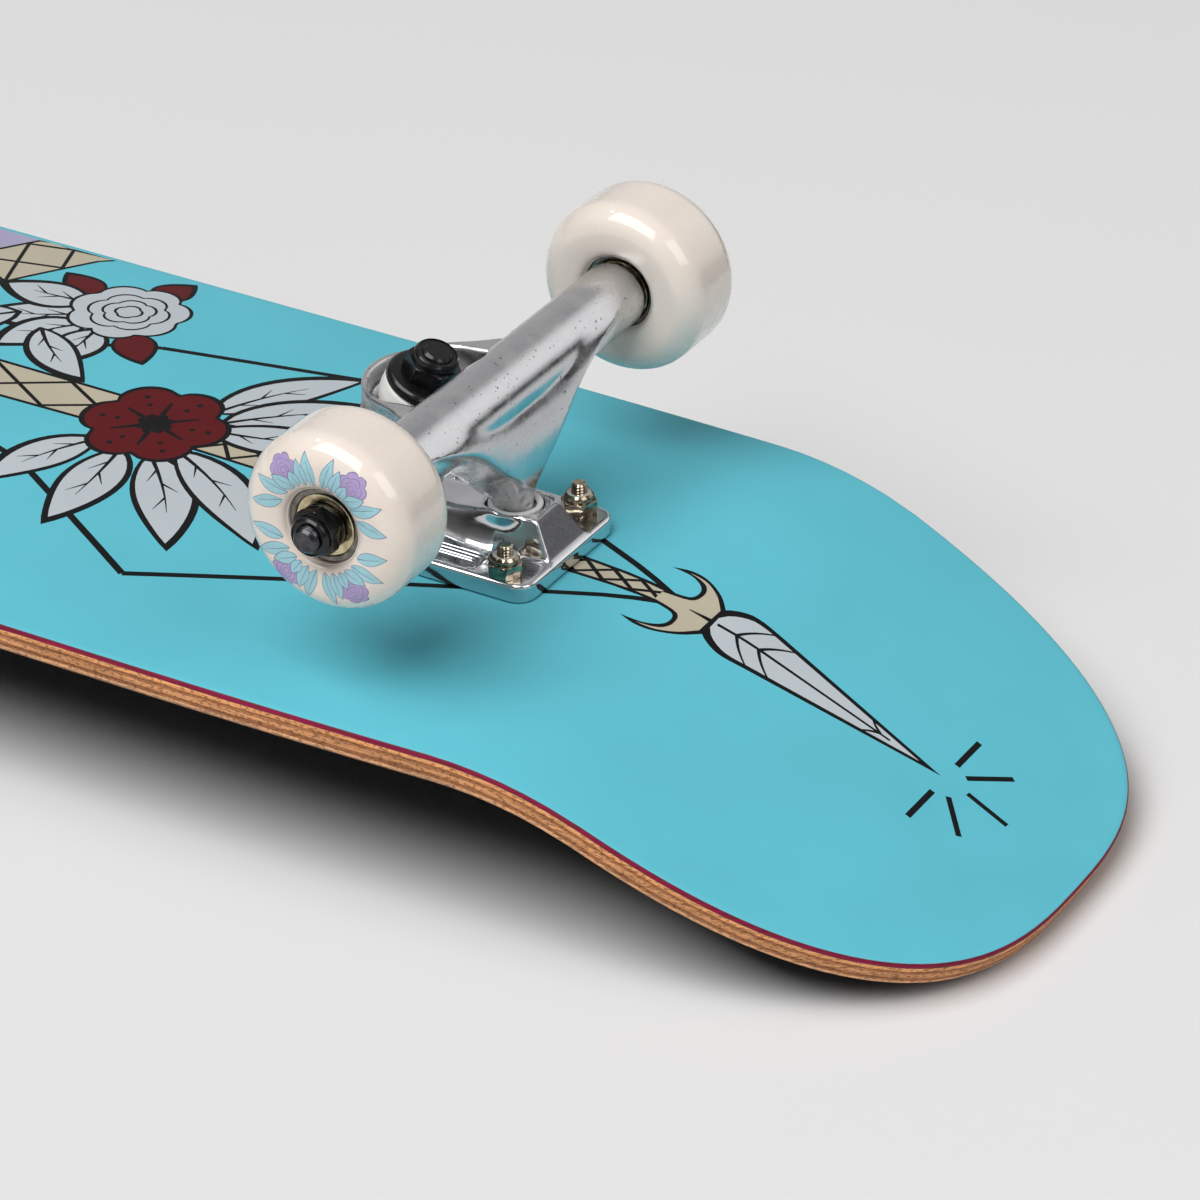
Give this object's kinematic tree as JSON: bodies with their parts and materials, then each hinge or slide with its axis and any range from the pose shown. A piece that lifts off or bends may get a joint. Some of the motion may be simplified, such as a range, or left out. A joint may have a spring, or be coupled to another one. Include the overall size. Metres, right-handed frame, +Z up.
{
  "type": "skateboard",
  "caption": "Complete skateboard: kicked and concaved maple deck with grip tape, sprung steering trucks and free-rolling urethane wheels, lying wheels up.",
  "frame": {"origin": "on the floor under the middle of the board's length and width, as it lies wheels up on its nose and tail tips", "axes": "+X along the board towards the tail; +Y across the board (pieces named left are on +Y, right on -Y); +Z up, away from the graphic face and through the wheels. Turned half a turn about +X it stands on its wheels."},
  "size_m": [0.8112, 0.204, 0.1422],
  "materials": {
    "deck_maple": "seven-ply maple, lacquered turquoise graphic face, bare ply edges",
    "grip_tape": "matte black abrasive grit",
    "hardware_nickel": "nickel-plated steel, slightly golden",
    "hardware_black": "glossy black oxide",
    "baseplate_polished": "polished cast aluminium",
    "hanger_cast": "tumbled satin cast aluminium",
    "axle_steel": "dark turned steel",
    "bushing_white": "smooth white urethane",
    "wheel_urethane": "cream urethane, smooth",
    "bearing_steel": "bronze-tinted bearing steel"
  },
  "bodies": {
    "board": {"deck": "deck_maple", "grip_tape": "grip_tape", "mounting_bolt_tail_1": "hardware_nickel", "mounting_bolt_tail_2": "hardware_nickel", "mounting_bolt_tail_3": "hardware_nickel", "mounting_bolt_tail_4": "hardware_nickel", "mounting_nut_tail_1": "hardware_nickel", "mounting_nut_tail_2": "hardware_nickel", "mounting_nut_tail_3": "hardware_nickel", "mounting_nut_tail_4": "hardware_nickel", "baseplate_tail": "baseplate_polished", "pivot_cup_tail": "bushing_white", "kingpin_tail": "hardware_black", "kingpin_nut_tail": "hardware_black", "top_washer_tail": "hardware_black", "bottom_washer_tail": "hardware_black", "top_bushing_tail": "bushing_white", "bottom_bushing_tail": "bushing_white", "mounting_bolt_nose_1": "hardware_nickel", "mounting_bolt_nose_2": "hardware_nickel", "mounting_bolt_nose_3": "hardware_nickel", "mounting_bolt_nose_4": "hardware_nickel", "mounting_nut_nose_1": "hardware_nickel", "mounting_nut_nose_2": "hardware_nickel", "mounting_nut_nose_3": "hardware_nickel", "mounting_nut_nose_4": "hardware_nickel", "baseplate_nose": "baseplate_polished", "pivot_cup_nose": "bushing_white", "kingpin_nose": "hardware_black", "kingpin_nut_nose": "hardware_black", "top_washer_nose": "hardware_black", "bottom_washer_nose": "hardware_black", "top_bushing_nose": "bushing_white", "bottom_bushing_nose": "bushing_white"},
    "truck_tail": {"hanger_tail": "hanger_cast", "axle_tail": "axle_steel", "bearing_spacer_tail_left": "bearing_steel", "axle_nut_tail_left": "hardware_black", "bearing_spacer_tail_right": "bearing_steel", "axle_nut_tail_right": "hardware_black"},
    "truck_nose": {"hanger_nose": "hanger_cast", "axle_nose": "axle_steel", "bearing_spacer_nose_left": "bearing_steel", "axle_nut_nose_left": "hardware_black", "bearing_spacer_nose_right": "bearing_steel", "axle_nut_nose_right": "hardware_black"},
    "wheels_tail_left": {"wheel_tail_left": "wheel_urethane", "bearing_outer_tail_left": "bearing_steel", "bearing_inner_tail_left": "bearing_steel"},
    "wheels_tail_right": {"wheel_tail_right": "wheel_urethane", "bearing_outer_tail_right": "bearing_steel", "bearing_inner_tail_right": "bearing_steel"},
    "wheels_nose_left": {"wheel_nose_left": "wheel_urethane", "bearing_outer_nose_left": "bearing_steel", "bearing_inner_nose_left": "bearing_steel"},
    "wheels_nose_right": {"wheel_nose_right": "wheel_urethane", "bearing_outer_nose_right": "bearing_steel", "bearing_inner_nose_right": "bearing_steel"}
  },
  "joints": [
    {"name": "steer_tail", "type": "hinge", "parent": "board", "child": "truck_tail", "pos_m": [0.22891, 0, 0.07454], "axis": [-0.845, 0, 0.5348], "range_deg": [-12, 12], "stiffness_Nm_per_rad": 60, "deforming": ["top_bushing_tail", "bottom_bushing_tail"]},
    {"name": "steer_nose", "type": "hinge", "parent": "board", "child": "truck_nose", "pos_m": [-0.22366, 0, 0.07454], "axis": [0.845, 0, 0.5348], "range_deg": [-12, 12], "stiffness_Nm_per_rad": 60, "deforming": ["top_bushing_nose", "bottom_bushing_nose"]},
    {"name": "wheel_spin_tail_left", "type": "hinge", "parent": "truck_tail", "child": "wheels_tail_left", "pos_m": [0.22021, 0.0794, 0.11571], "axis": [0, 1, 0], "continuous": true},
    {"name": "wheel_spin_tail_right", "type": "hinge", "parent": "truck_tail", "child": "wheels_tail_right", "pos_m": [0.22021, -0.0794, 0.11571], "axis": [0, 1, 0], "continuous": true},
    {"name": "wheel_spin_nose_left", "type": "hinge", "parent": "truck_nose", "child": "wheels_nose_left", "pos_m": [-0.21496, 0.0794, 0.11571], "axis": [0, 1, 0], "continuous": true},
    {"name": "wheel_spin_nose_right", "type": "hinge", "parent": "truck_nose", "child": "wheels_nose_right", "pos_m": [-0.21496, -0.0794, 0.11571], "axis": [0, 1, 0], "continuous": true}
  ]
}
